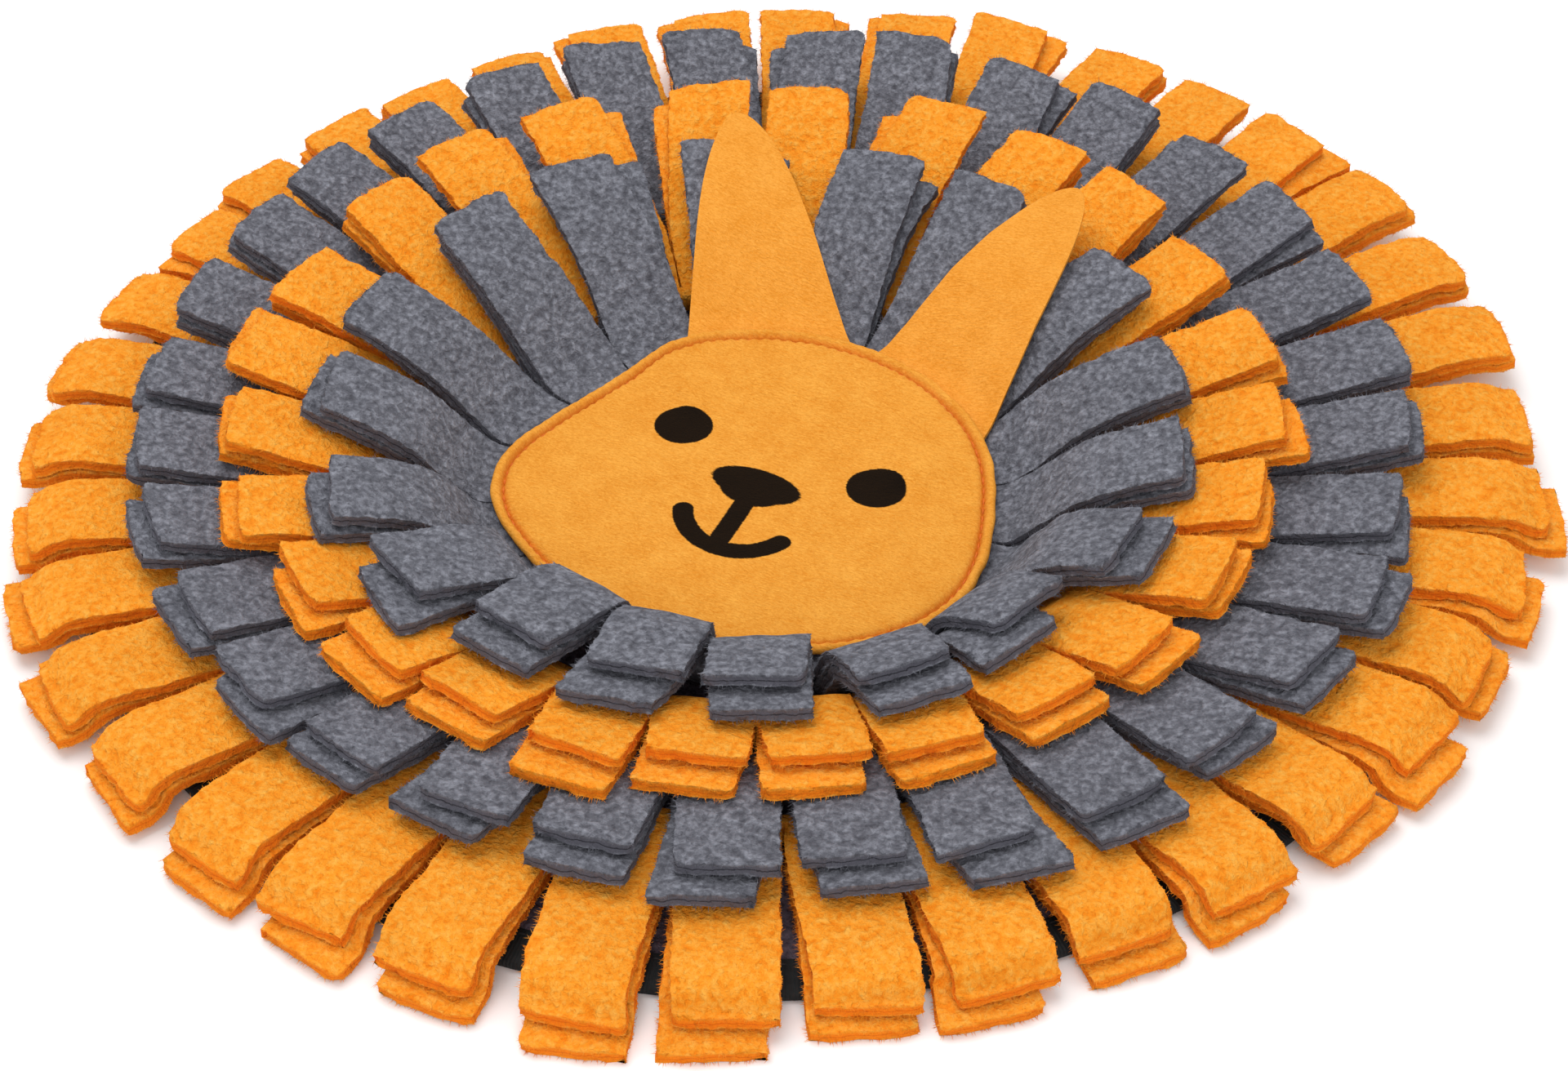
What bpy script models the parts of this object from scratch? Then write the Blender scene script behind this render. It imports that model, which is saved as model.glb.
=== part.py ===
# A round snuffle mat, lying flat: a fleece disc with a taped edge carries four
# rings of fleece fringe round a felt rabbit head with two ears.
# Each ring is a narrow sewn fold with pairs of strips, one strip over the other.
# The face looks up with its brow towards +Y. The origin is under the middle of
# the disc, on the surface that the mat lies on. Sizes are in millimetres, and
# MM turns them into metres where a mesh is made.

import math
import random
from collections import namedtuple

import bmesh
import bpy

MM = 0.001
TOUCH = 0.3                 # gap between pieces that lie on each other

# Base disc and the tape that binds its edge
BASE_RADIUS = 229.9
BASE_THICK = 3.0
RIM_WIDTH = 12.2            # part of the disc that the tape pinches
RIM_THICK = 1.2
RIM_STEP = 1.6              # width of the slope down to the pinched part
TAPE_THICK = 0.6
TAPE_WIDTH = 13.0
TAPE_CORNER = 0.7           # the tape's outer corners are cut off this far
ROUND_STEPS = 60

# Fringe: every strip is a flat length of fleece
STRIP_WIDTH = 30.0
STRIP_THICK = 4.0
PAIR_GAP = 0.6              # between the two strips of a pair, at the root
PAIR_PARTING = 0.5          # how much more they part at the tips
SEWN_FOLD = 3.5             # depth of the narrow fold that the strips grow from
SLIT = 1.5                  # between neighbours at the root
SIDE_ROOM = 0.5             # least distance of a strip from its sector's edge
UNEVEN_LENGTH = 2.5         # strips are cut this much longer or shorter
UNEVEN_SIDE = 0.9           # share of the free room that a strip wanders sideways
UNEVEN_CUT = 1.5            # slant of a cut end, from its middle to its corner
NEAR_SIDE = math.radians(-63.0)   # the side on which the strips bend over most
LONG_AXIS = math.radians(75.0)    # the strips are longest along this line, both ways
LONG_SIDE = math.radians(40.0)    # and besides longer on this side

LAYER = STRIP_THICK + PAIR_GAP
FOLD_BOTTOM = BASE_THICK + TOUCH
UPPER_ROOT = FOLD_BOTTOM + LAYER + STRIP_THICK / 2

# One row for each fold along a strip: how far along it lies, as a share of the
# strip's free length, and how high the upper strip's middle is there, on the side
# where the strips stand up (far) and on the side where they bend over (near).
# The inner ring's are higher by "chin" where they press against the head's chin.
Fold = namedtuple("Fold", "along far near chin", defaults=(0.0,))

# One row for each ring. The length is that of the upper strips, far and near;
# "oval" is what it gains along the long axis and loses across it, "skew" what it
# gains on the long side and loses opposite, "longer" how much the lower strip
# reaches past it, and "lift" how much single strips rise above the rest at their tips.
Ring = namedtuple("Ring", "name pairs centre root length oval skew longer lift roll seed folds")

RINGS = (
    Ring("fringe_ring_1_orange", 38, (0.0, 0.0), 174.0, (83.5, 74.0), 8.0, 6.0, (0.0, 6.5),
         (4.0, 0.0), (3.0, 0.0), 11, (
             Fold(0.00, UPPER_ROOT, UPPER_ROOT),
             Fold(0.28, 13.0, 11.8),
             Fold(0.56, 17.0, 13.4),
             Fold(0.855, 20.5, 13.4),
             Fold(0.963, 21.5, 7.1),
             Fold(1.00, 21.8, 7.1))),
    Ring("fringe_ring_2_grey", 32, (2.0, 0.0), 144.0, (78.0, 61.0), 0.0, 0.0, (-3.0, 7.0),
         (4.0, 1.0), (3.0, 1.5), 23, (
             Fold(0.00, UPPER_ROOT, UPPER_ROOT),
             Fold(0.12, 13.5, 14.0),
             Fold(0.30, 19.5, 18.0),
             Fold(0.54, 27.0, 20.8),
             Fold(0.78, 33.5, 22.8),
             Fold(1.00, 39.0, 25.0))),
    Ring("fringe_ring_3_orange", 26, (4.8, -20.2), 108.5, (88.0, 48.0), 0.0, 0.0, (-3.0, 8.0),
         (4.0, 0.6), (4.0, 1.5), 37, (
             Fold(0.00, UPPER_ROOT, UPPER_ROOT),
             Fold(0.14, 15.0, 15.2),
             Fold(0.32, 22.5, 22.0),
             Fold(0.55, 30.5, 25.8),
             Fold(0.78, 37.5, 28.3),
             Fold(1.00, 43.0, 30.3))),
    Ring("fringe_ring_4_grey", 18, (7.0, -28.0), 71.0, (97.0, 59.0), 0.0, 0.0, (-3.0, 10.0),
         (1.0, 1.5), (1.5, 2.0), 53, (
             Fold(0.00, UPPER_ROOT, UPPER_ROOT),
             Fold(0.07, 10.2, 12.6, 0.6),
             Fold(0.19, 14.6, 17.8, 3.4),
             Fold(0.31, 20.5, 22.6, 5.6),
             Fold(0.49, 29.0, 29.6, 3.2),
             Fold(0.72, 37.5, 34.5, 0.6),
             Fold(1.00, 45.0, 38.0))),
)
INNER_RING = RINGS[-1]

# Felt head, sewn down over the roots of the inner ring
HEAD_CENTRE = (7.0, -28.0)
HEAD_RADIUS = 81.0
# Where its outline leaves the round: the middle and the half width of each swell
# in degrees round the head, and how far out it goes
Swell = namedtuple("Swell", "middle half out")
HEAD_SWELLS = (
    Swell(-154.0, 30.0, 4.5),    # left cheek
    Swell(-18.0, 40.0, 6.5),     # right cheek
    Swell(163.0, 38.0, -7.5),    # flatter side over the left cheek
    Swell(-97.0, 62.0, -5.0),    # chin, held in by the strips
)
CHIN = HEAD_SWELLS[-1]
HEAD_ROOM = 0.8             # from the head's edge to where the strips rise
HEAD_THICK = 2.6
HEAD_STEPS = 60
STITCH_INSET = 6.0          # from the felt's edge to the seam
STITCH_WIDTH = 1.6
STITCH_DEPTH = 0.8
STITCH_LIP = 0.2            # the felt swells this much beside the seam
RIM_FLIP = 0.9              # the edge outside the seam turns up a little

# Felt ears, tucked under the head's upper edge and lying back on the strips
EAR_THICK = 2.2
EAR_TUCK = 9.0              # length that lies under the head
EAR_LENGTH = 88.0           # from the head's edge to the tip, seen from above
EAR_HALF_WIDTH = 30.0
EAR_TAPER = 0.62
EAR_ROUNDNESS = 6.0
EAR_ROWS = 16
EAR_LAST_ROW = 0.999        # share of the length at which the rounded tip is closed
EAR_COLUMNS = (-1.0, -0.5, 0.0, 0.5, 1.0)
EAR_ABOVE_STRIPS = 5.2      # from the middle of a strip to the middle of the ear
EAR_SETTLES = (7.0, 25.0)   # it comes to rest on them this far outside their root
Ear = namedtuple("Ear", "name base heading")
EARS = (
    Ear("ear_left", (-24.0, 44.0), 124.0),
    Ear("ear_right", (38.0, 42.0), 78.0),
)
EAR_ZONE = (34.0, 138.0)    # degrees round the head in which it lies on the ears
EAR_ZONE_FADE = 14.0
RAISED_BAND = 24.0          # how far in from the edge the head lies on them
FLAT_INSET = 42.0           # and where it is back at its plain height

HEAD_UNDERSIDE = UPPER_ROOT + STRIP_THICK / 2 + TOUCH
EAR_RAISE = EAR_THICK + 2 * TOUCH


def clear_scene():
    for old in list(bpy.data.objects):
        bpy.data.objects.remove(old, do_unlink=True)


def make_material(name, colour, roughness):
    material = bpy.data.materials.new(name)
    material.use_nodes = True
    shader = material.node_tree.nodes["Principled BSDF"]
    shader.inputs["Base Color"].default_value = (*colour, 1.0)
    shader.inputs["Roughness"].default_value = roughness
    shader.inputs["Metallic"].default_value = 0.0
    return material


def add_object(name, bm, material, smooth=False):
    """Close the bmesh into a named object with its faces pointing out."""
    bmesh.ops.recalc_face_normals(bm, faces=bm.faces)
    mesh = bpy.data.meshes.new(name)
    bm.to_mesh(mesh)
    bm.free()
    if smooth:
        mesh.shade_smooth()
        mesh.set_sharp_from_angle(angle=math.radians(40.0))
    mesh.materials.append(material)
    thing = bpy.data.objects.new(name, mesh)
    bpy.context.scene.collection.objects.link(thing)
    return thing


def mix(far, near, nearness):
    return far + (near - far) * nearness


def smooth_step(low, high, value):
    share = min(max((value - low) / (high - low), 0.0), 1.0)
    return share * share * (3.0 - 2.0 * share)


def turned(bm, profile, steps=ROUND_STEPS):
    """Turn a closed profile of (radius, height) round Z; radius 0 makes a pole."""
    columns = []
    for radius, height in profile:
        if radius == 0.0:
            columns.append([bm.verts.new((0.0, 0.0, height * MM))] * steps)
            continue
        columns.append([
            bm.verts.new((radius * MM * math.cos(math.tau * step / steps),
                          radius * MM * math.sin(math.tau * step / steps), height * MM))
            for step in range(steps)])
    for index, here in enumerate(columns):
        there = columns[(index + 1) % len(columns)]
        for step in range(steps):
            after = (step + 1) % steps
            corners = []
            for corner in (here[step], here[after], there[after], there[step]):
                if corner not in corners:
                    corners.append(corner)
            if len(corners) > 2:
                bm.faces.new(corners)


def make_base():
    middle = BASE_THICK / 2
    rim_low = middle - RIM_THICK / 2
    rim_high = middle + RIM_THICK / 2
    inner = BASE_RADIUS - RIM_WIDTH
    flat = inner - RIM_STEP
    bm = bmesh.new()
    turned(bm, (
        (0.0, 0.0), (flat, 0.0), (inner, rim_low), (BASE_RADIUS, rim_low),
        (BASE_RADIUS, rim_high), (inner, rim_high), (flat, BASE_THICK), (0.0, BASE_THICK)))
    return add_object("base_disc", bm, make_material("grey_base_fleece", (0.13, 0.11, 0.13), 0.95),
                      smooth=True)


def make_edge_tape():
    rim_high = BASE_THICK / 2 + RIM_THICK / 2
    top = rim_high + TOUCH + TAPE_THICK
    outside = BASE_RADIUS + TOUCH + TAPE_THICK
    inside = outside - TAPE_WIDTH
    bm = bmesh.new()
    turned(bm, (
        (inside, 0.0), (outside - TAPE_CORNER, 0.0), (outside, TAPE_CORNER),
        (outside, top - TAPE_CORNER), (outside - TAPE_CORNER, top),
        (inside, top), (inside, top - TAPE_THICK),
        (outside - TAPE_THICK, top - TAPE_THICK), (outside - TAPE_THICK, TAPE_THICK),
        (inside, TAPE_THICK)))
    return add_object("edge_tape", bm, make_material("black_tape", (0.015, 0.018, 0.018), 0.85),
                      smooth=True)


def nearness_at(azimuth):
    """1 on the side where the strips bend over, 0 on the opposite side."""
    return (1.0 + math.cos(azimuth - NEAR_SIDE)) / 2


def plain_length(ring, azimuth):
    return (mix(*ring.length, nearness_at(azimuth))
            + ring.oval * math.cos(2.0 * (azimuth - LONG_AXIS))
            + ring.skew * math.cos(azimuth - LONG_SIDE))


def swell_share(swell, turn):
    """1 in the middle of a swell of the head's outline, 0 outside it."""
    off = (math.degrees(turn) - swell.middle + 180.0) % 360.0 - 180.0
    share = min(abs(off) / swell.half, 1.0)
    return (1.0 + math.cos(math.pi * share)) / 2


def head_radius(turn):
    return HEAD_RADIUS + sum(swell.out * swell_share(swell, turn) for swell in HEAD_SWELLS)


def held_length(ring, azimuth):
    """How much of a strip is held down level, under the head's edge."""
    if ring.name != INNER_RING.name:
        return 0.0
    sector = math.pi / ring.pairs
    edge = max(head_radius(azimuth + side * sector) for side in (-1, 0, 1))
    return edge + HEAD_ROOM - ring.root


def strip_path(ring, azimuth, length, lift):
    """The upper strip's middle, as (along, reach, height) at each fold."""
    nearness = nearness_at(azimuth)
    chin = swell_share(CHIN, azimuth)
    held = held_length(ring, azimuth)
    path = [(0.0, 0.0, UPPER_ROOT)] if held else []
    reach = held
    for fold in ring.folds:
        along = (held + fold.along * (length - held)) / length
        height = mix(fold.far, fold.near, nearness) + fold.chin * chin + lift * along ** 3
        if fold.along:
            run = (along - path[-1][0]) * length
            rise = height - path[-1][2]
            reach += math.sqrt(max(run * run - rise * rise, 0.0))
        path.append((along, reach, height))
    return path


def path_slopes(path):
    """The slope at each fold: level at the root, and halfway between its two runs."""
    runs = [math.atan2(after[2] - before[2], after[1] - before[1])
            for before, after in zip(path, path[1:])]
    inner = [(one + two) / 2 for one, two in zip(runs, runs[1:])]
    return [0.0] + inner + [runs[-1]]


def sector_half(ring, radius):
    return radius * math.tan(math.pi / ring.pairs)


def root_half(ring):
    return sector_half(ring, ring.root) - SLIT / 2


def ring_point(ring, azimuth, radius, aside, height):
    x = radius * math.cos(azimuth) - aside * math.sin(azimuth) + ring.centre[0]
    y = radius * math.sin(azimuth) + aside * math.cos(azimuth) + ring.centre[1]
    return (x * MM, y * MM, height * MM)


def strip_sections(ring, azimuth, path, lower, longer, side, roll, slant):
    """The four corners of a strip's section at each fold but the root: bottom
    left and right, then top right and left, seen along the strip. The lower strip
    of a pair runs a layer below the pair's path and may go on past its end."""
    slopes = path_slopes(path)
    along, reach, height = path[-1]
    path = path[:-1] + [(along, reach + longer * math.cos(slopes[-1]),
                         height + longer * math.sin(slopes[-1]))]
    sections = []
    for (along, reach, height), slope in list(zip(path, slopes))[1:]:
        below = (LAYER + PAIR_PARTING * along ** 3) * lower
        radius = ring.root + reach + below * math.sin(slope)
        middle = height - below * math.cos(slope)
        sector = sector_half(ring, radius) - SIDE_ROOM
        half = min(STRIP_WIDTH / 2, sector)
        aside = side * (sector - half) * along
        lean = math.tan(roll) * along ** 2
        corners = []
        for across, up in ((-1, -1), (1, -1), (1, 1), (-1, 1)):
            out = slant * across if along == 1.0 else 0.0
            thick = up * STRIP_THICK / 2
            corners.append(ring_point(
                ring, azimuth, radius + out - thick * math.sin(slope), aside + across * half,
                middle + thick * math.cos(slope) + lean * (aside + across * half)))
        sections.append(corners)
    return sections


def add_strip(bm, root_corners, sections):
    """Grow a strip out of four corners of the sewn fold and close its cut end."""
    here = root_corners
    for corners in sections:
        there = [bm.verts.new(corner) for corner in corners]
        for index in range(4):
            after = (index + 1) % 4
            bm.faces.new((here[index], here[after], there[after], there[index]))
        here = there
    bm.faces.new(here)


def either_way(chance, most):
    return chance.uniform(-most, most)


def make_ring(ring, material):
    chance = random.Random(ring.seed)
    rows = (FOLD_BOTTOM, FOLD_BOTTOM + STRIP_THICK, FOLD_BOTTOM + LAYER,
            FOLD_BOTTOM + LAYER + STRIP_THICK)
    half = root_half(ring)
    back = (ring.root - SEWN_FOLD) / ring.root
    bm = bmesh.new()
    edges = []
    for pair in range(ring.pairs):
        azimuth = math.tau * pair / ring.pairs
        nearness = nearness_at(azimuth)
        for across in (-1, 1):
            outer = [bm.verts.new(ring_point(ring, azimuth, ring.root, across * half, row))
                     for row in rows]
            inner = [bm.verts.new(ring_point(ring, azimuth, ring.root * back,
                                             across * half * back, row))
                     for row in (rows[0], rows[-1])]
            edges.append((outer, inner))
        left, right = edges[-2][0], edges[-1][0]
        length = plain_length(ring, azimuth) + either_way(chance, UNEVEN_LENGTH)
        longer = mix(*ring.longer, nearness) + either_way(chance, UNEVEN_LENGTH)
        lift = mix(*ring.lift, nearness) * chance.uniform(0.0, 1.0)
        roll = either_way(chance, math.radians(mix(*ring.roll, nearness)))
        path = strip_path(ring, azimuth, length, lift)
        lower = strip_sections(ring, azimuth, path, 1, longer, either_way(chance, UNEVEN_SIDE),
                               roll, either_way(chance, UNEVEN_CUT))
        upper = strip_sections(ring, azimuth, path, 0, 0.0, either_way(chance, UNEVEN_SIDE),
                               roll, either_way(chance, UNEVEN_CUT))
        add_strip(bm, [left[0], right[0], right[1], left[1]], lower)
        add_strip(bm, [left[2], right[2], right[3], left[3]], upper)
        bm.faces.new((left[1], right[1], right[2], left[2]))
    for index, (outer, inner) in enumerate(edges):
        next_outer, next_inner = edges[(index + 1) % len(edges)]
        bm.faces.new((outer[0], inner[0], next_inner[0], next_outer[0]))
        bm.faces.new((outer[3], inner[1], next_inner[1], next_outer[3]))
        bm.faces.new((inner[0], inner[1], next_inner[1], next_inner[0]))
        if index % 2:
            for row in range(3):
                bm.faces.new((outer[row], outer[row + 1], next_outer[row + 1], next_outer[row]))
    return add_object(ring.name, bm, material)


def head_point(turn, inset):
    """A point of the head's outline, moved inwards by inset."""
    radius = head_radius(turn) * (1.0 - inset / HEAD_RADIUS)
    return (HEAD_CENTRE[0] + radius * math.cos(turn), HEAD_CENTRE[1] + radius * math.sin(turn))


def head_raise(turn, inset):
    """How far the felt lifts where the ears are sewn in under it."""
    degrees = math.degrees(turn) % 360.0
    low, high = EAR_ZONE
    round_share = (smooth_step(low - EAR_ZONE_FADE, low, degrees)
                   * (1.0 - smooth_step(high, high + EAR_ZONE_FADE, degrees)))
    inward_share = 1.0 - smooth_step(RAISED_BAND, FLAT_INSET, inset)
    return EAR_RAISE * round_share * inward_share


def make_head():
    groove = STITCH_INSET
    half = STITCH_WIDTH / 2
    # inset from the edge, and height above the plain felt's top
    top_rows = ((0.0, RIM_FLIP), (groove - half, STITCH_LIP), (groove, -STITCH_DEPTH),
                (groove + half, STITCH_LIP), (RAISED_BAND, 0.0), (FLAT_INSET, 0.0))
    under_rows = ((FLAT_INSET, 0.0), (RAISED_BAND, 0.0), (groove, 0.0), (0.0, RIM_FLIP))
    bm = bmesh.new()

    def ring_of(inset, height):
        row = []
        for step in range(HEAD_STEPS):
            turn = math.tau * step / HEAD_STEPS
            x, y = head_point(turn, inset)
            row.append(bm.verts.new((x * MM, y * MM, (height + head_raise(turn, inset)) * MM)))
        return row

    loops = [ring_of(inset, HEAD_UNDERSIDE + height) for inset, height in under_rows]
    loops += [ring_of(inset, HEAD_UNDERSIDE + HEAD_THICK + height) for inset, height in top_rows]
    for here, there in zip(loops, loops[1:]):
        for step in range(HEAD_STEPS):
            after = (step + 1) % HEAD_STEPS
            bm.faces.new((here[step], here[after], there[after], there[step]))
    for row, height in ((loops[0], HEAD_UNDERSIDE), (loops[-1], HEAD_UNDERSIDE + HEAD_THICK)):
        centre = bm.verts.new((HEAD_CENTRE[0] * MM, HEAD_CENTRE[1] * MM, height * MM))
        for step in range(HEAD_STEPS):
            bm.faces.new((centre, row[step], row[(step + 1) % HEAD_STEPS]))
    return add_object("head", bm, make_material("orange_felt", (0.90, 0.36, 0.045), 0.9),
                      smooth=True)


def strip_height_at(ring, x, y):
    """Height of the upper strips' middle under a point, straight on past their tips."""
    aside = (x - ring.centre[0], y - ring.centre[1])
    azimuth = math.atan2(aside[1], aside[0])
    wanted = math.hypot(*aside) - ring.root
    path = strip_path(ring, azimuth, plain_length(ring, azimuth), 0.0)
    if wanted <= 0.0:
        return path[0][2]
    for before, after in zip(path, path[1:]):
        if wanted <= after[1] or after is path[-1]:
            share = (wanted - before[1]) / (after[1] - before[1])
            return mix(before[2], after[2], share)


def ear_half_width(share):
    return EAR_HALF_WIDTH * (1.0 - EAR_TAPER * share) * math.sqrt(1.0 - share ** EAR_ROUNDNESS)


def ear_height(x, y):
    """Middle of the ear: level under the head, then lying on the strips."""
    under_head = HEAD_UNDERSIDE + EAR_THICK / 2
    off_centre = math.hypot(x - HEAD_CENTRE[0], y - HEAD_CENTRE[1])
    on_strips = strip_height_at(INNER_RING, x, y) + EAR_ABOVE_STRIPS
    lifts_off, comes_down = EAR_SETTLES
    return mix(under_head, on_strips, smooth_step(INNER_RING.root + lifts_off,
                                                  INNER_RING.root + comes_down, off_centre))


def make_ear(ear, material):
    heading = math.radians(ear.heading)
    along = (math.cos(heading), math.sin(heading))
    under = [(across, -1) for across in EAR_COLUMNS]
    over = [(across, 1) for across in reversed(EAR_COLUMNS)]
    bm = bmesh.new()
    rows = []
    for row in range(EAR_ROWS + 1):
        # rows crowd together towards the rounded tip
        share = math.sin(math.pi / 2 * row / EAR_ROWS)
        out = -EAR_TUCK + (EAR_LENGTH + EAR_TUCK) * share
        half = ear_half_width(min(share, EAR_LAST_ROW))
        loop = []
        for across, up in under + over:
            x = ear.base[0] + along[0] * out - along[1] * across * half
            y = ear.base[1] + along[1] * out + along[0] * across * half
            z = ear_height(x, y) + up * EAR_THICK / 2
            loop.append(bm.verts.new((x * MM, y * MM, z * MM)))
        rows.append(loop)
    for here, there in zip(rows, rows[1:]):
        for index in range(len(here)):
            after = (index + 1) % len(here)
            bm.faces.new((here[index], here[after], there[after], there[index]))
    for end in (rows[0], rows[-1]):
        for index in range(len(under) - 1):
            bm.faces.new((end[index], end[index + 1], end[-2 - index], end[-1 - index]))
    return add_object(ear.name, bm, material, smooth=True)


def main():
    clear_scene()
    make_base()
    make_edge_tape()
    orange = make_material("orange_fleece", (0.88, 0.30, 0.025), 0.95)
    grey = make_material("grey_fleece", (0.15, 0.165, 0.19), 0.95)
    for ring in RINGS:
        make_ring(ring, orange if ring.name.endswith("orange") else grey)
    make_head()
    ear_felt = make_material("orange_ear_felt", (0.90, 0.34, 0.035), 0.9)
    for ear in EARS:
        make_ear(ear, ear_felt)


main()
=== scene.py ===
# A round snuffle mat of fleece strips with a felt rabbit head, lying on a floor.
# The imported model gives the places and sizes; the cloth here has the same folds,
# made finer. Lengths in the tables are millimetres, and mm turns them into metres.

import math
import random
from functools import partial

import bpy
import numpy as np
from mathutils import Matrix, Vector, noise


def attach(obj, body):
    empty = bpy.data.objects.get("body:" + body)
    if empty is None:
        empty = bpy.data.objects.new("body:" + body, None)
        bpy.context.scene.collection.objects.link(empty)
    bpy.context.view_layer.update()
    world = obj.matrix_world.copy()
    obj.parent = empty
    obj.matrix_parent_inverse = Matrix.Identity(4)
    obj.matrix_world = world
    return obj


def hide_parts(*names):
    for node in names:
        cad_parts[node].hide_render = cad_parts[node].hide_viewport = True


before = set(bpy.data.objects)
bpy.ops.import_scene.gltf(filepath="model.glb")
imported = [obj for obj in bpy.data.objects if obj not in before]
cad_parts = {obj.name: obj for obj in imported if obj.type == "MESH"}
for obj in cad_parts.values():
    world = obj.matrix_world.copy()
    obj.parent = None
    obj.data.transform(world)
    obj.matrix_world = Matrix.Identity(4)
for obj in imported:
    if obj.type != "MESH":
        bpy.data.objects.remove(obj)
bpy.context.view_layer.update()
bpy.ops.object.select_all(action="DESELECT")
mm = 0.001
print("frame loaded")


def linearFromHex(text):
    # sRGB hex to the linear values that a shader takes
    values = [int(text[i:i + 2], 16) / 255 for i in (0, 2, 4)]
    return [v / 12.92 if v <= 0.04045 else ((v + 0.055) / 1.055) ** 2.4 for v in values] + [1.0]


def addNode(tree, kind, **values):
    # adds a node; a value is a property of the node or else a socket, by its name or,
    # as in0, in1 and so on, by its number, and a node or a socket given is linked
    node = tree.nodes.new("ShaderNode" + kind)
    for name, value in values.items():
        if hasattr(node, name):
            setattr(node, name, value)
            continue
        numbered = name.startswith("in") and name[2:].isdigit()
        socket = node.inputs[int(name[2:]) if numbered else name.replace("_", " ")]
        if isinstance(value, bpy.types.Node):
            value = next(output for output in value.outputs if output.enabled)
        if isinstance(value, bpy.types.NodeSocket):
            tree.links.new(value, socket)
        else:
            socket.default_value = value
    return node


def newMaterial(name):
    # a material, the way to add its nodes, and the place on the piece
    material = bpy.data.materials.new(name)
    material.use_nodes = True
    add = partial(addNode, material.node_tree)
    return material, add, add("TexCoord").outputs["Object"]


def finishMaterial(material, colour, bump, **values):
    # links the colour, where it is mixed, and the bump, and sets the shader's sockets
    shader, links = material.node_tree.nodes["Principled BSDF"], material.node_tree.links
    if colour:
        links.new(colour.outputs[2], shader.inputs["Base Color"])
    if bump:
        links.new(bump.outputs[0], shader.inputs["Normal"])
    for name, value in values.items():
        shader.inputs[name.replace("_", " ")].default_value = value
    return material


def mix(far, near, share):
    return far + (near - far) * share


def wave(x, y, kind):
    # a kind of wave is (height, length) in mm
    height, long = kind
    return height * noise.noise(Vector((x, y, 0.0)) / long)


def smoothStep(low, high, value):
    share = np.clip((value - low) / (high - low), 0.0, 1.0)
    return share * share * (3.0 - 2.0 * share)


def turnsRound(steps):
    return [math.tau * step / steps for step in range(steps)]


def onCircle(centre, radius, turn):
    return centre[0] + radius * math.cos(turn), centre[1] + radius * math.sin(turn)


def tubeFaces(rows, around, start=0, closed=False):
    # the faces between rows of points that each go all the way round; in a closed
    # tube the last row meets the first
    faces = []
    for row in range(rows if closed else rows - 1):
        here, there = start + row * around, start + (row + 1) % rows * around
        for spot in range(around):
            after = (spot + 1) % around
            faces.append((here + spot, here + after, there + after, there + spot))
    return faces


def finishPiece(piece, material, sharp):
    # turns its faces outwards, smooths all but its sharp edges, and dresses it
    bpy.ops.object.select_all(action="DESELECT")
    piece.select_set(True)
    bpy.context.view_layer.objects.active = piece
    bpy.ops.object.mode_set(mode="EDIT")
    bpy.ops.mesh.select_all(action="SELECT")
    bpy.ops.mesh.normals_make_consistent(inside=False)
    bpy.ops.object.mode_set(mode="OBJECT")
    bpy.ops.object.shade_smooth_by_angle(angle=math.radians(sharp))
    piece.select_set(False)
    piece.data.materials.clear()
    piece.data.materials.append(material)
    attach(piece, "root")
    print(piece.name, "made,", len(piece.data.polygons), "faces")
    return piece


def pieceFromArrays(name, points, faces, material, node, attributes=None, sharp=50.0):
    # points in mm, faces as lists of corners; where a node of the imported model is
    # named, the piece stands for it
    mesh = bpy.data.meshes.new(name)
    mesh.from_pydata([tuple(p) for p in np.asarray(points) * mm], [], faces)
    mesh.validate()
    for key, values in (attributes or {}).items():
        channel = mesh.attributes.new(key, "FLOAT", "POINT")
        channel.data.foreach_set("value", np.asarray(values, np.float32))
    piece = bpy.data.objects.new(name, mesh)
    bpy.context.scene.collection.objects.link(piece)
    if node:
        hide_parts(node)
    return finishPiece(piece, material, sharp)


fleeceLook = {
    # each noise: mm across, detail, roughness, distortion
    "noises": [(1.4, 1.5, 0.55, 1.1),   # the brushed pile stands in curls
               (3.0, 2.0, 0.6, 0.5),    # that swell and sink with the nap
               (24.0, 2.0, 0.6, 0.0),   # and lean this way and that in patches
               (0.5, 2.0, 0.7, 0.8),    # fibres, really finer; drawn as coarse as shows
               (3.0, 2.0, 0.5, 0.0)],   # and this one bends the round tufts
    "tuft": 2.2, "bent": 0.0016,        # mm across a tuft, and metres that it is bent by
    "curlShare": 0.55, "tuftShare": -0.42, "fibreShare": 0.3,     # of the pile's height
    "heights": (0.30, 1.16),            # the lowest and highest pile
    "stops": (0.08, 0.42, 0.95),        # stops: painted shade, plain colour, painted light
    # painted shade and light: a patch whose nap leans away is painted a little darker, one
    # leaning the other way a little lighter, with its naps
    "napLean": 0.3, "leans": (0.45, 0.85), "shades": (0.94, 1.06),
    "bump": 1.0, "depth": 1.4, "sheen": 0.25,
    # the knitted ground in a cut edge, whose top is 0 and bottom 1: its place, how far
    # the nap shifts it, and where the cut edge's painted shade and the line on it begin
    # and are full
    "ground": 0.56, "shift": 0.35, "meanShift": 0.17,
    "cut": (0.44, 0.28), "line": (0.075, 0.02),
}


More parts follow.
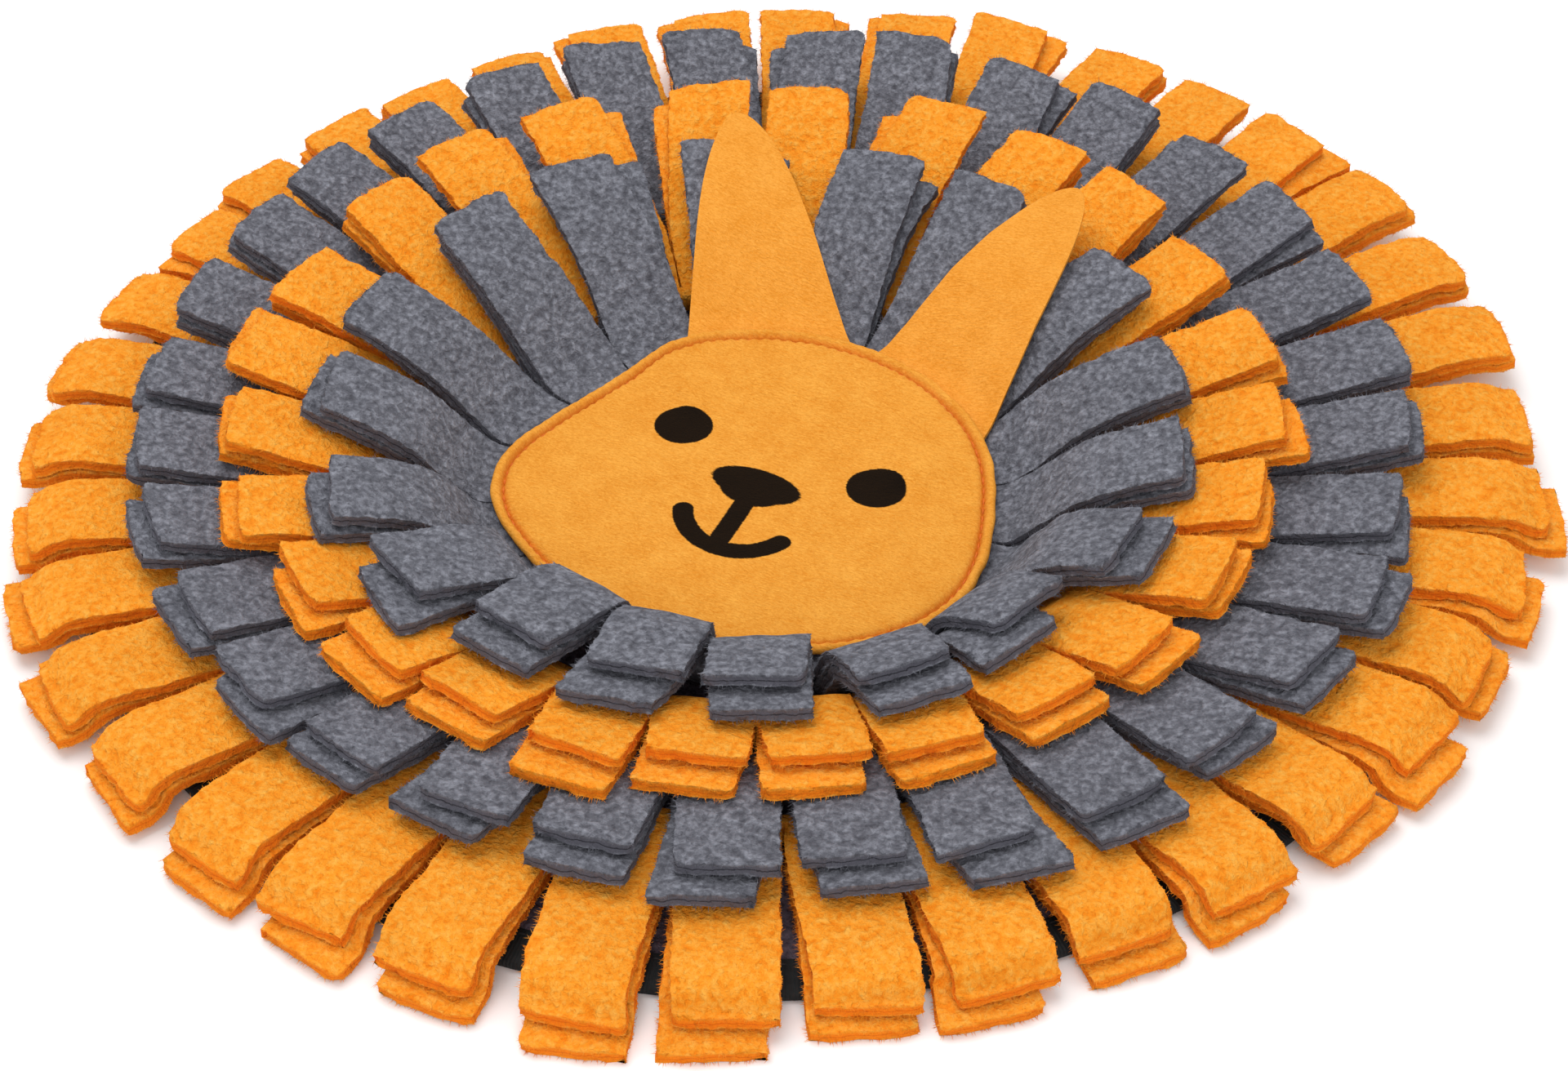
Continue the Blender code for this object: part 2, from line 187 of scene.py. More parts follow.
def fleeceMaterial(name, creviceShadeHex, pileHex, crestLightHex, cutHex, groundHex):
    # Polyester fleece, knitted and brushed: matte and soft, with painted shade deep between
    # its curls and painted light on their crests; a cut edge is painted a deeper, redder colour
    # for the shaded glow of its sides, with the knitted ground as a dark line.
    material, add, place = newMaterial(name)
    look = fleeceLook
    curls, naps, patches, fibres, stray = (
        add("TexNoise", Vector=place, Scale=1 / (wide * mm), Detail=detail, Roughness=rough,
            Distortion=bend) for wide, detail, rough, bend in look["noises"])
    bent = add("Mix", data_type="VECTOR", Factor=look["bent"], in4=place,
               in5=stray.outputs["Color"])
    cells = add("TexVoronoi", feature="F1", Vector=bent, Scale=1 / (look["tuft"] * mm))
    lumps = add("Math", operation="MULTIPLY_ADD", in0=cells, in1=look["tuftShare"], in2=naps)
    tufts = add("Math", operation="MULTIPLY_ADD", in0=curls, in1=look["curlShare"], in2=lumps)
    height = add("Math", operation="MULTIPLY_ADD", in0=fibres, in1=look["fibreShare"],
                 in2=tufts)
    level = add("MapRange", Value=height, From_Min=look["heights"][0],
                From_Max=look["heights"][1])
    # painted shade and light: dark deep between the curls, light on their crests
    tone = add("ValToRGB", Fac=level)
    deepest, plain, highest = look["stops"]
    ramp = tone.color_ramp
    ramp.elements[0].position, ramp.elements[0].color = deepest, linearFromHex(creviceShadeHex)
    ramp.elements[1].position, ramp.elements[1].color = highest, linearFromHex(crestLightHex)
    ramp.elements.new(plain).color = linearFromHex(pileHex)
    # painted shade and light: patches scaled darker or lighter as their nap leans
    lean = add("Math", operation="MULTIPLY_ADD", in0=naps, in1=look["napLean"], in2=patches)
    shade = add("MapRange", Value=lean, From_Min=look["leans"][0], From_Max=look["leans"][1],
                To_Min=look["shades"][0], To_Max=look["shades"][1])
    colour = add("VectorMath", operation="SCALE", in0=tone, Scale=shade)
    # through runs from 0 on the upper side to 1 on the under side, across a cut edge
    through = add("Attribute", attribute_name="through").outputs["Fac"]
    wavy = add("Math", operation="MULTIPLY_ADD", in0=naps, in1=look["shift"], in2=through)
    off = add("Math", operation="SUBTRACT", in0=wavy, in1=look["ground"] + look["meanShift"])
    far = add("Math", operation="ABSOLUTE", in0=off)
    # painted shade: a cut edge's deeper, redder colour stands in for the shaded glow of its
    # sides; the knitted ground is a dark line of its own
    for (begins, full), cutTone in ((look["cut"], cutHex), (look["line"], groundHex)):
        share = add("MapRange", Value=far, From_Min=begins, From_Max=full)
        colour = add("Mix", data_type="RGBA", Factor=share, in6=colour,
                     in7=linearFromHex(cutTone))
    bump = add("Bump", Height=height, Strength=look["bump"], Distance=look["depth"] * mm)
    return finishMaterial(material, colour, bump, Roughness=1.0, Specular_IOR_Level=0.06,
                          Sheen_Weight=look["sheen"], Sheen_Roughness=0.7,
                          Sheen_Tint=linearFromHex(crestLightHex))


feltLook = {
    # each noise: mm across, detail, roughness, distortion
    "noises": [(11.0, 4.0, 0.65, 0.0),  # clouds of felted fibres,
               (1.9, 4.0, 0.75, 0.6),   # the combed fibres
               (0.8, 2.0, 0.7, 0.0)],   # and the fuzz between them
    "combed": 3.4, "combing": math.radians(-32.0),   # how long the fibres run, and which way
    "fuzzShare": 0.45, "cloudShare": 0.45, "tones": (0.76, 1.12),
    "bump": 0.75, "depth": 0.8, "sheen": 0.05,
}


def feltMaterial(name, feltHex, lightHex, grooveShadeHex, printed=False):
    # Needled polyester felt: matte and close, its fibres combed mostly one way and
    # felted in small clouds, with painted shade in the groove of its seam and on its
    # underside up to the lower cut edge; the face on the head is printed, flat in the surface.
    material, add, place = newMaterial(name)
    look = feltLook
    combed = add("Mapping", Vector=place, Scale=(1.0, look["combed"], 1.0),
                 Rotation=(0.0, 0.0, look["combing"]))
    clouds, fibres, fuzz = (
        add("TexNoise", Vector=spot, Scale=1 / (wide * mm), Detail=detail, Roughness=rough,
            Distortion=bend)
        for spot, (wide, detail, rough, bend) in zip((place, combed, place), look["noises"]))
    grain = add("Math", operation="MULTIPLY_ADD", in0=fuzz, in1=look["fuzzShare"], in2=fibres)
    both = add("Math", operation="MULTIPLY_ADD", in0=clouds, in1=look["cloudShare"], in2=grain)
    share = add("MapRange", Value=both, From_Min=look["tones"][0], From_Max=look["tones"][1])
    colour = add("Mix", data_type="RGBA", Factor=share, in6=linearFromHex(feltHex),
                 in7=linearFromHex(lightHex))
    # painted shade in the seam's groove and on the underside
    grooveShade = add("Attribute", attribute_name="grooveShade").outputs["Fac"]
    colour = add("Mix", data_type="RGBA", Factor=grooveShade, in6=colour,
                 in7=linearFromHex(grooveShadeHex))
    if printed:
        colour = printedFace(add, place, colour, fibres)
    bump = add("Bump", Height=grain, Strength=look["bump"], Distance=look["depth"] * mm)
    return finishMaterial(material, colour, bump, Roughness=0.98, Specular_IOR_Level=0.08,
                          Sheen_Weight=look["sheen"], Sheen_Roughness=0.6,
                          Sheen_Tint=linearFromHex(lightHex))


face = {
    # places, half sizes and the line's width in mm, angles in degrees
    "ink": "0a0808",
    "eye": (10.0, 9.6), "eyes": [(-27.0, -11.0), (45.0, -11.0)],
    "nose": [((9.2, -27.6), (15.8, 7.8)), ((9.2, -31.0), (11.2, 6.8))],
    "stem": ((9.6, -33.0), (11.0, -60.0)), "line": 6.9,
    "smile": (11.4, -40.6), "radius": 19.8, "middle": -90.0, "spread": 64.0,
    # the print's edge follows the felt's fibres, and they show in it here and there
    "fray": 1.2, "edge": (0.85, 0.45),
    "bare": (0.62, 0.80), "bareShare": 0.25, "bareHex": "2b2523",
}


def printedFace(add, place, colour, fibres):
    # each mark is a distance in mm, below 0 inside it; the least of them is the print
    axes = add("SeparateXYZ", Vector=add("VectorMath", operation="SCALE", in0=place,
                                         Scale=1 / mm))
    flat = add("CombineXYZ", X=axes.outputs["X"], Y=axes.outputs["Y"])

    def ovalMark(centre, halves):
        put = add("Mapping", vector_type="TEXTURE", Vector=flat, Location=(*centre, 0.0),
                  Scale=(*halves, 1.0))
        out = add("VectorMath", operation="LENGTH", in0=put)
        return add("Math", operation="MULTIPLY_ADD", in0=out, in1=min(halves),
                   in2=-min(halves))

    def lineMark(start, end):
        ab = Vector(end) - Vector(start)
        off = add("VectorMath", operation="SUBTRACT", in0=flat, in1=(*start, 0.0))
        dot = add("VectorMath", operation="DOT_PRODUCT", in0=off,
                  in1=(*(ab / ab.length_squared), 0.0))
        near = add("VectorMath", operation="SCALE", in0=(*ab, 0.0),
                   Scale=add("Clamp", Value=dot))
        out = add("VectorMath", operation="DISTANCE", in0=off, in1=near)
        return add("Math", operation="SUBTRACT", in0=out, in1=face["line"] / 2)

    def arcMark(centre, radius, middle, spread):
        # a piece of a ring round its middle direction, cut square
        put = add("Mapping", vector_type="TEXTURE", Vector=flat, Location=(*centre, 0.0),
                  Rotation=(0.0, 0.0, math.radians(middle)))
        out = add("VectorMath", operation="LENGTH", in0=put)
        ring = add("Math", operation="SUBTRACT", in0=out, in1=radius)
        line = add("Math", operation="ABSOLUTE", in0=ring)
        band = add("Math", operation="SUBTRACT", in0=line, in1=face["line"] / 2)
        part = add("SeparateXYZ", Vector=put).outputs
        around = add("Math", operation="ARCTAN2", in0=part["Y"], in1=part["X"])
        turn = add("Math", operation="ABSOLUTE", in0=around)
        past = add("Math", operation="MULTIPLY_ADD", in0=turn, in1=radius,
                   in2=-radius * math.radians(spread))
        return add("Math", operation="MAXIMUM", in0=band, in1=past)

    marks = [ovalMark(centre, face["eye"]) for centre in face["eyes"]]
    marks += [ovalMark(*oval) for oval in face["nose"]]
    marks.append(lineMark(*face["stem"]))
    marks.append(arcMark(face["smile"], face["radius"], face["middle"], face["spread"]))
    for side in (-1, 1):     # the smile's ends are round
        turn = math.radians(face["middle"] + side * face["spread"])
        marks.append(ovalMark(onCircle(face["smile"], face["radius"], turn),
                              (face["line"] / 2, face["line"] / 2)))
    nearest = 9.0    # farther than the print's edge reaches
    for mark in marks:
        nearest = add("Math", operation="MINIMUM", in0=nearest, in1=mark)
    frayed = add("Math", operation="MULTIPLY_ADD", in0=fibres, in1=face["fray"], in2=nearest)
    inside = add("MapRange", Value=frayed, From_Min=face["edge"][0], From_Max=face["edge"][1])
    speck = add("MapRange", Value=fibres, From_Min=face["bare"][0], From_Max=face["bare"][1],
                To_Max=face["bareShare"])
    ink = add("Mix", data_type="RGBA", Factor=speck, in6=linearFromHex(face["ink"]),
              in7=linearFromHex(face["bareHex"]))
    return add("Mix", data_type="RGBA", Factor=inside, in6=colour, in7=ink)


def ribbonMaterial(name, darkHex, lightHex, rib):
    # Woven polyester binding tape: dull black with fine ribs across its length, rib mm
    # apart, and a little lint
    material, add, place = newMaterial(name)
    along = add("Attribute", attribute_name="alongEdge").outputs["Fac"]
    turns = add("Math", operation="MULTIPLY", in0=along, in1=math.tau / rib)
    ribs = add("Math", operation="SINE", in0=turns)
    lint = add("TexNoise", Vector=place, Scale=1 / (2.0 * mm), Detail=4.0)
    tone = add("Mix", data_type="RGBA", Factor=lint, in6=linearFromHex(darkHex),
               in7=linearFromHex(lightHex))
    bump = add("Bump", Height=ribs, Strength=0.5, Distance=0.2 * mm)
    return finishMaterial(material, tone, bump, Roughness=0.8, Specular_IOR_Level=0.3)


def threadMaterial(name, threadHex):
    # Spun polyester sewing thread, with the slight shine of its twist
    material, add, place = newMaterial(name)
    twist = add("TexNoise", Vector=place, Scale=1 / (0.5 * mm), Detail=2.0)
    bump = add("Bump", Height=twist, Strength=0.4, Distance=0.1 * mm)
    return finishMaterial(material, None, bump, Base_Color=linearFromHex(threadHex),
                          Roughness=0.55)


strip = {
    "width": 30.0, "thick": 4.0,
    "gap": 0.6,           # between the strips of a pair, at the root,
    "parting": 0.5,       # and how much more at their ends
    "slit": 1.5, "room": 0.5,                # between neighbours, at the root and past it
    "fold": 3.5, "bandSteps": 180, "bandRound": 1.2,    # the sewn fold they grow from
    # the side where they lie down, and the sides where they are longest
    "nearSide": math.radians(-63.0), "longAxis": math.radians(75.0),
    "longSide": math.radians(40.0),
    "uneven": 2.5, "wander": 0.9, "slant": 1.5,         # in length, to the side, at the cut
    "sway": (0.2, 0.8), "swayLong": 17.0,    # how a strip wavers along its length
    "cup": (-0.2, 0.9),   # how far its long edges hang below its middle
    "floor": 3.3,         # top of the disc and the gap over it
    "puff": 0.92,         # share of the thickness left at a cut edge
    "groove": 0.25,       # depth of the line of knitted ground in a cut edge
    "lump": 0.34,         # how much the nap swells,
    "naps": [(1.1, 9.0), (0.7, 5.2)],        # in tufts: a share and mm across
    "ragged": 0.8,        # how unevenly the cuts run,
    "snip": 2.4, "sweep": 7.0, "sweepShare": 0.8,       # in short snips on long sweeps
    "corner": 1.3, "cornerRow": 0.3,         # how far the corners are worn off
    "hair": (0.8, 2.1), "hairThick": 0.24,   # loose fibres that stand off the cut edges
    "hairs": 1.3,         # how many in each mm of edge
    "hairSpread": 0.55, "hairRoot": 0.3,     # how they scatter, and start inside it
    "flatRoom": 1.05,     # the flat band is this much wider than its area asks
}
layer = strip["thick"] + strip["gap"]
upperRoot = strip["floor"] + layer + strip["thick"] / 2

stitch = {"long": 3.6, "gap": 0.8, "thick": 0.7,
          "ends": 0.4}    # share of the length past which the ends are pulled down

head = {
    "centre": (7.0, -28.0), "radius": 81.0, "room": 0.8,
    # where the outline leaves the round: middle and half width in degrees, mm outwards:
    # left cheek, right cheek, the flatter side over the left cheek, the chin
    "swells": [(-154.0, 30.0, 4.5), (-18.0, 40.0, 6.5), (163.0, 38.0, -7.5),
               (-97.0, 62.0, -5.0)],
    "thick": 2.6, "under": upperRoot + strip["thick"] / 2 + 0.3, "steps": 400,
    "seam": 4.0, "seamDeep": 1.8, "seamWide": 2.2, "seamSteps": 240,
    "thread": 0.22, "threadSink": 0.6,       # height over the groove's floor, and the ends
    "rim": 1.1,           # how far the rim swells outside the seam
    "pucker": 0.42,       # and how much it pulls in at each stitch,
    "puckerWide": 3.4,    # this far to each side of the seam
    "uneven": 0.55, "unevenFade": 2.5,       # how much the cut edge wanders
    "wave": (0.45, 24.0), "ripple": (0.14, 6.0), "puckerWave": (1.2, 9.0),
    "crown": 0.8, "crownFrom": (8.0, 40.0),
    "grooveShade": 0.5, "grooveShadeWide": 0.8,      # painted shade in groove and underneath
    # where the ears raise the brow, in degrees, and how far in from the edge
    "earZone": (34.0, 138.0), "fade": 14.0, "band": 24.0, "flat": 42.0, "raise": 2.8,
}

# a fold is (share of the free length, height far, height near, more at the chin);
# pairs of values are (far, near)
rings = [
    {"piece": "outerFringe", "node": "fringe_ring_1_orange", "slot": "orange_fleece",
     "pairs": 38, "centre": (0.0, 0.0), "root": 174.0, "length": (83.5, 74.0),
     "oval": 8.0, "skew": 6.0, "longer": (0.0, 6.5), "lift": (4.0, 0.0), "roll": (3.0, 0.0),
     "seed": 11, "cells": (2.0, 2.8), "droop": 0.0,
     "folds": [(0.00, upperRoot, upperRoot), (0.28, 13.0, 11.8), (0.56, 17.0, 13.4),
               (0.855, 20.5, 13.4), (0.963, 21.5, 7.1), (1.00, 21.8, 7.1)]},
    {"piece": "secondFringe", "node": "fringe_ring_2_grey", "slot": "grey_fleece",
     "pairs": 32, "centre": (2.0, 0.0), "root": 144.0, "length": (78.0, 61.0),
     "oval": 0.0, "skew": 0.0, "longer": (-3.0, 7.0), "lift": (4.0, 1.0), "roll": (3.0, 1.5),
     "seed": 23, "cells": (1.8, 2.5), "droop": 0.6,
     "folds": [(0.00, upperRoot, upperRoot), (0.12, 13.5, 14.0), (0.30, 19.5, 18.0),
               (0.54, 27.0, 20.8), (0.78, 33.5, 22.8), (1.00, 39.0, 25.0)]},
    {"piece": "thirdFringe", "node": "fringe_ring_3_orange", "slot": "orange_fleece",
     "pairs": 26, "centre": (4.8, -20.2), "root": 108.5, "length": (88.0, 48.0),
     "oval": 0.0, "skew": 0.0, "longer": (-3.0, 8.0), "lift": (4.0, 0.6), "roll": (4.0, 1.5),
     "seed": 37, "cells": (1.6, 2.2), "droop": 0.8,
     "folds": [(0.00, upperRoot, upperRoot), (0.14, 15.0, 15.2), (0.32, 22.5, 22.0),
               (0.55, 30.5, 25.8), (0.78, 37.5, 28.3), (1.00, 43.0, 30.3)]},
    {"piece": "innerFringe", "node": "fringe_ring_4_grey", "slot": "grey_fleece",
     "pairs": 18, "centre": (7.0, -28.0), "root": 71.0, "length": (97.0, 59.0),
     "oval": 0.0, "skew": 0.0, "longer": (-3.0, 10.0), "lift": (1.0, 1.5), "roll": (1.5, 2.0),
     "seed": 53, "cells": (1.4, 1.9), "droop": 1.2,
     "folds": [(0.00, upperRoot, upperRoot), (0.07, 10.2, 12.6, 0.6), (0.19, 14.6, 17.8, 3.4),
               (0.31, 20.5, 22.6, 5.6), (0.49, 29.0, 29.6, 3.2), (0.72, 37.5, 34.5, 0.6),
               (1.00, 45.0, 38.0)]},
]
innerRing = rings[-1]


def nearnessAt(azimuth):
    return (1.0 + math.cos(azimuth - strip["nearSide"])) / 2


def plainLength(ring, azimuth):
    return (mix(*ring["length"], nearnessAt(azimuth))
            + ring["oval"] * math.cos(2.0 * (azimuth - strip["longAxis"]))
            + ring["skew"] * math.cos(azimuth - strip["longSide"]))


def swellShare(swell, turn):
    # 1 in the middle of a swell of the head's outline, 0 outside it
    middle, half = swell[:2]
    off = (math.degrees(turn) - middle + 180.0) % 360.0 - 180.0
    return (1.0 + math.cos(math.pi * min(abs(off) / half, 1.0))) / 2


def headRadius(turn):
    return head["radius"] + sum(swell[2] * swellShare(swell, turn) for swell in head["swells"])


def heldLength(ring, azimuth):
    # how much of a strip is held down level, under the head's edge
    if ring is not innerRing:
        return 0.0
    sector = math.pi / ring["pairs"]
    edge = max(headRadius(azimuth + side * sector) for side in (-1, 0, 1))
    return edge + head["room"] - ring["root"]


def stripPath(ring, azimuth, length, lift):
    # the upper strip's middle as (distance along, reach, height) at each fold
    nearness, chin = nearnessAt(azimuth), swellShare(head["swells"][-1], azimuth)
    held = heldLength(ring, azimuth)
    path = [(0.0, 0.0, upperRoot)] if held else []
    reach = held
    for share, far, near, *more in ring["folds"]:
        at = held + share * (length - held)
        height = mix(far, near, nearness) + sum(more) * chin + lift * (at / length) ** 3
        if share:
            run, rise = at - path[-1][0], height - path[-1][2]
            reach += math.sqrt(max(run * run - rise * rise, 0.0))
        path.append((at, reach, height))
    return np.array(path)


def alongPath(path, distances):
    # a smooth line through the folds, level at the root and straight past the end
    at, values = path[:, 0], path[:, 1:]
    runs = np.diff(values, axis=0) / np.diff(at)[:, None]
    slopes = np.vstack([[1.0, 0.0], (runs[1:] + runs[:-1]) / 2, runs[-1]])
    inside = np.clip(distances, at[0], at[-1])
    index = np.clip(np.searchsorted(at, inside, side="right") - 1, 0, len(at) - 2)
    span = (at[index + 1] - at[index])[:, None]
    t = ((inside - at[index]) / span[:, 0])[:, None]
    found = ((2 * t ** 3 - 3 * t ** 2 + 1) * values[index]
             + (t ** 3 - 2 * t ** 2 + t) * span * slopes[index]
             + (3 * t ** 2 - 2 * t ** 3) * values[index + 1]
             + (t ** 3 - t ** 2) * span * slopes[index + 1])
    return found + (distances - inside)[:, None] * slopes[-1]


def napHeight(point, shift):
    # how the nap swells in tufts, from about -1 to 1
    spot = Vector(point) + shift
    return sum(share * noise.noise(spot / wide) for share, wide in strip["naps"])


def jagHeight(point, shift):
    # how a cut wanders as the shears did
    spot = Vector(point)
    return (noise.noise(spot / strip["snip"] + shift)
            + strip["sweepShare"] * noise.noise(spot / strip["sweep"] - shift))


def makeStrip(ring, azimuth, path, total, lower, side, roll, slant, cell, bends):
    # one strip as a closed shell: a section of points at each row, the cut end last
    sway, swayStart, cup = bends
    rows = max(int(round(total / cell)), 6)
    columns = max(int(round(strip["width"] / cell)), 6)
    distances = np.linspace(0.0, total, rows + 1)
    # the last rows crowd together where the corners round off
    distances[-2] = total - strip["corner"] - strip["cornerRow"]
    length = path[-1, 0]
    line = alongPath(path, distances)
    step = np.gradient(line, distances, axis=0)
    slope = np.arctan2(step[:, 1], step[:, 0])
    slope[0] = 0.0
    along = np.minimum(distances / length, 1.0)
    below = (layer + strip["parting"] * along ** 3) * lower
    below = below + lower * ring["droop"] * along ** 3
    radius = ring["root"] + line[:, 0] + below * np.sin(slope)
    middle = line[:, 1] - below * np.cos(slope)
    sector = radius * math.tan(math.pi / ring["pairs"])    # half of it, across
    half = np.minimum(strip["width"] / 2, sector - strip["room"])
    half[0] = sector[0] - strip["slit"] / 2
    aside = side * (sector - half) * along
    lean = math.tan(roll) * along ** 2
    # the columns crowd a little towards the long edges, where the strip thins
    across = np.linspace(-1.0, 1.0, columns + 1)
    across = np.sign(across) * np.abs(across) ** 0.9
    edgeFall = 1.0 - (1.0 - strip["puff"]) * np.abs(across) ** 7
    turn = np.array([math.cos(azimuth), math.sin(azimuth), 0.0])
    left = np.array([-math.sin(azimuth), math.cos(azimuth), 0.0])
    upward = np.array([0.0, 0.0, 1.0])
    centre = np.array([*ring["centre"], 0.0])
    points, swells, frays, through = [], [], [], []

    def placed(row, wide, thick, out=0.0):
        # wide from -1 to 1 across, thick in mm above the strip's middle
        worn = strip["corner"] * abs(wide) ** 6 if row == rows else 0.0
        ahead = out - worn + (slant * wide if row == rows else 0.0)
        offset = aside[row] + wide * (half[row] - worn / 2)
        wavy = sway * math.sin(swayStart + distances[row] / strip["swayLong"]) * along[row]
        height = middle[row] + lean[row] * offset - cup * wide * wide * along[row]
        flat = radius[row] + ahead * math.cos(slope[row]) - thick * math.sin(slope[row])
        raised = height + thick * math.cos(slope[row]) + ahead * math.sin(slope[row])
        return centre + turn * flat + left * (offset + wavy) + upward * raised

    def keep(row, wide, thick, share, swell, out=0.0):
        # swell is the way the nap pushes a point, and fray the way its cut wanders
        atEdge = abs(wide) > 0.96
        fray = left * atEdge * math.copysign(min(1.0, 0.3 + along[row]), wide)
        if row == rows:
            fray = fray + math.cos(slope[row]) * turn + math.sin(slope[row]) * upward
        points.append(placed(row, wide, thick, out))
        swells.append(swell)
        frays.append(fray)
        through.append(share)

    for row in range(rows + 1):
        up = -math.sin(slope[row]) * turn + math.cos(slope[row]) * upward
        thick = strip["thick"] / 2 * edgeFall * (strip["puff"] if row == rows else 1.0)
        inset = strip["groove"] / half[row]
        for wide, tall in zip(across, thick):
            keep(row, wide, tall, 0.0, up)
        keep(row, 1.0 - inset, 0.0, 0.5, left * 0.0)
        for wide, tall in zip(across[::-1], thick[::-1]):
            keep(row, wide, -tall, 1.0, -up)
        keep(row, -1.0 + inset, 0.0, 0.5, left * 0.0)
    around = 2 * (columns + 1) + 2
    faces = tubeFaces(rows + 1, around)
    # the cut end, with the knitted ground set back in its middle
    last = rows * around
    ends = [last + around - 1]
    for wide in across[1:-1]:
        ends.append(len(points))
        keep(rows, wide, 0.0, 0.5, left * 0.0, -strip["groove"])
    ends.append(last + columns + 1)
    for spot in range(columns):
        faces.append((last + spot, last + spot + 1, ends[spot + 1], ends[spot]))
        under = last + around - 2 - spot
        faces.append((ends[spot], ends[spot + 1], under - 1, under))
    faces.append(tuple(range(around)))
    # the runs along the cut edges, each with a point further in on its own side
    low, high = columns + 2, around - 2
    corners = ((0, 1), (columns, columns - 1), (low, low + 1), (high, high - 1))
    edges = [(start + corner, start + around + corner, start + inward)
             for start in range(0, last, around) for corner, inward in corners]
    for first in (last, last + low):
        edges += [(first + spot, first + spot + 1, first + spot - around)
                  for spot in range(columns)]
    return points, faces, swells, frays, through, edges


def makeRing(ring, material):
    # pairs of strips, one over the other, grown out of one band
    chance = random.Random(ring["seed"])
    extra = random.Random(ring["seed"] + 1000)
    points, faces, swells, frays, through, edges = [], [], [], [], [], []
    area = 0.0

    def either(most):
        return chance.uniform(-most, most)

    for pair in range(ring["pairs"]):
        azimuth = math.tau * pair / ring["pairs"]
        nearness = nearnessAt(azimuth)
        length = plainLength(ring, azimuth) + either(strip["uneven"])
        longer = mix(*ring["longer"], nearness) + either(strip["uneven"])
        lift = mix(*ring["lift"], nearness) * chance.uniform(0.0, 1.0)
        roll = either(math.radians(mix(*ring["roll"], nearness)))
        path = stripPath(ring, azimuth, length, lift)
        lowSide, lowSlant = either(strip["wander"]), either(strip["slant"])
        topSide, topSlant = either(strip["wander"]), either(strip["slant"])
        cup = extra.uniform(*strip["cup"])
        for lower, total, side, slant, cell in (
                (1, length + longer, lowSide, lowSlant, ring["cells"][1]),
                (0, length, topSide, topSlant, ring["cells"][0])):
            bends = (extra.uniform(*strip["sway"]), extra.uniform(0.0, 6.0), cup)
            made = makeStrip(ring, azimuth, path, total, lower, side, roll, slant, cell, bends)
            start = len(points)
            points += made[0]
            faces += [tuple(start + corner for corner in face) for face in made[1]]
            swells += made[2]
            frays += made[3]
            through += made[4]
            edges += [(start + here, start + there, inward) for here, there, inward in made[5]]
            area += total * strip["width"]
    points, swells, frays = np.array(points), np.array(swells), np.array(frays)
    shift = Vector((ring["seed"] * 7.0, 0.0, 0.0))
    naps = np.array([napHeight(point, shift) for point in points])
    jags = np.array([jagHeight(point, shift) for point in points])
    points = (points + swells * (naps * strip["lump"])[:, None]
              + frays * (jags * strip["ragged"])[:, None])
    points[:, 2] = np.maximum(points[:, 2], 0.0)
    addHairs(ring, points, edges, material)
    points, faces, through, bandArea = addBand(ring, list(points), faces, through)
    piece = pieceFromArrays(ring["piece"], points, faces, material, ring["node"],
                            {"through": through}, sharp=75.0)
    area = (area + bandArea) * mm * mm


def unit(vectors):
    return vectors / np.linalg.norm(vectors, axis=1, keepdims=True)


def addHairs(ring, points, edges, material):
    # loose fibres stand off the cut edges, each one a sliver with four faces
    chance = np.random.default_rng(ring["seed"])
    here, there, inward = (points[[edge[part] for edge in edges]] for part in range(3))
    runs = np.linalg.norm(there - here, axis=1)
    many = chance.poisson(runs * strip["hairs"])
    here, run, inward = (np.repeat(each, many, axis=0) for each in (here, there - here, inward))
    root = here + run * chance.random((len(run), 1))
    run = unit(run)
    out = here - inward
    out = unit(out - run * np.sum(out * run, axis=1, keepdims=True))
    way = unit(out + chance.normal(0.0, strip["hairSpread"], root.shape))
    tip = root + way * chance.uniform(*strip["hair"], (len(root), 1))
    tip[:, 2] = np.maximum(tip[:, 2], 0.1)
    side = unit(np.cross(way, run + 0.01)) * strip["hairThick"] / 2
    other = np.cross(way, side) * 0.87
    foot = root - out * strip["hairRoot"]
    corners = np.stack([foot + side, foot - side / 2 + other, foot - side / 2 - other, tip],
                       axis=1).reshape(-1, 3)
    corners[:, 2] = np.maximum(corners[:, 2], 0.02)    # above the floor
    faces = [(start + a, start + b, start + c) for start in range(0, len(corners), 4)
             for a, b, c in ((0, 2, 1), (0, 1, 3), (1, 2, 3), (2, 0, 3))]
    pieceFromArrays(ring["piece"] + "Hairs", corners, faces, material, None)


def addBand(ring, points, faces, through):
    # the narrow sewn fold that the strips of a ring grow from
    steps, bend = strip["bandSteps"], strip["bandRound"]
    low, high = strip["floor"], strip["floor"] + layer + strip["thick"]
    inner, outer = ring["root"] - strip["fold"], ring["root"] + 1.0
    section = [(outer, low), (inner + bend, low), (inner, low + bend),
               (inner - 0.4, (low + high) / 2), (inner, high - bend), (inner + bend, high),
               (outer, high)]
    faces += tubeFaces(steps, len(section), len(points), closed=True)
    for turn in turnsRound(steps):
        for radius, height in section:
            points.append(np.array([*onCircle(ring["centre"], radius, turn), height]))
            through.append(0.0)
    return points, faces, through, math.tau * ring["root"] * strip["fold"] * 2


ears = [
    {"piece": "leftEar", "node": "ear_left", "base": (-24.0, 44.0), "heading": 124.0},
    {"piece": "rightEar", "node": "ear_right", "base": (38.0, 42.0), "heading": 78.0},
]
ear = {
    "thick": 2.2, "tuck": 9.0, "length": 88.0, "half": 30.0, "taper": 0.62, "round": 6.0,
    "above": 5.2, "settles": (7.0, 25.0), "rows": 70, "columns": 24,
    "tip": 0.4,           # half width of the last row
    "cutThick": 0.7,      # share of the thickness left at the cut edge
    "wave": (0.5, 16.0),
    "filled": 0.66,       # share of a rectangle round it that the flat piece fills
}


def headPoint(turn, inset):
    # inset is mm in from the edge, on the round
    return onCircle(head["centre"], headRadius(turn) * (1.0 - inset / head["radius"]), turn)


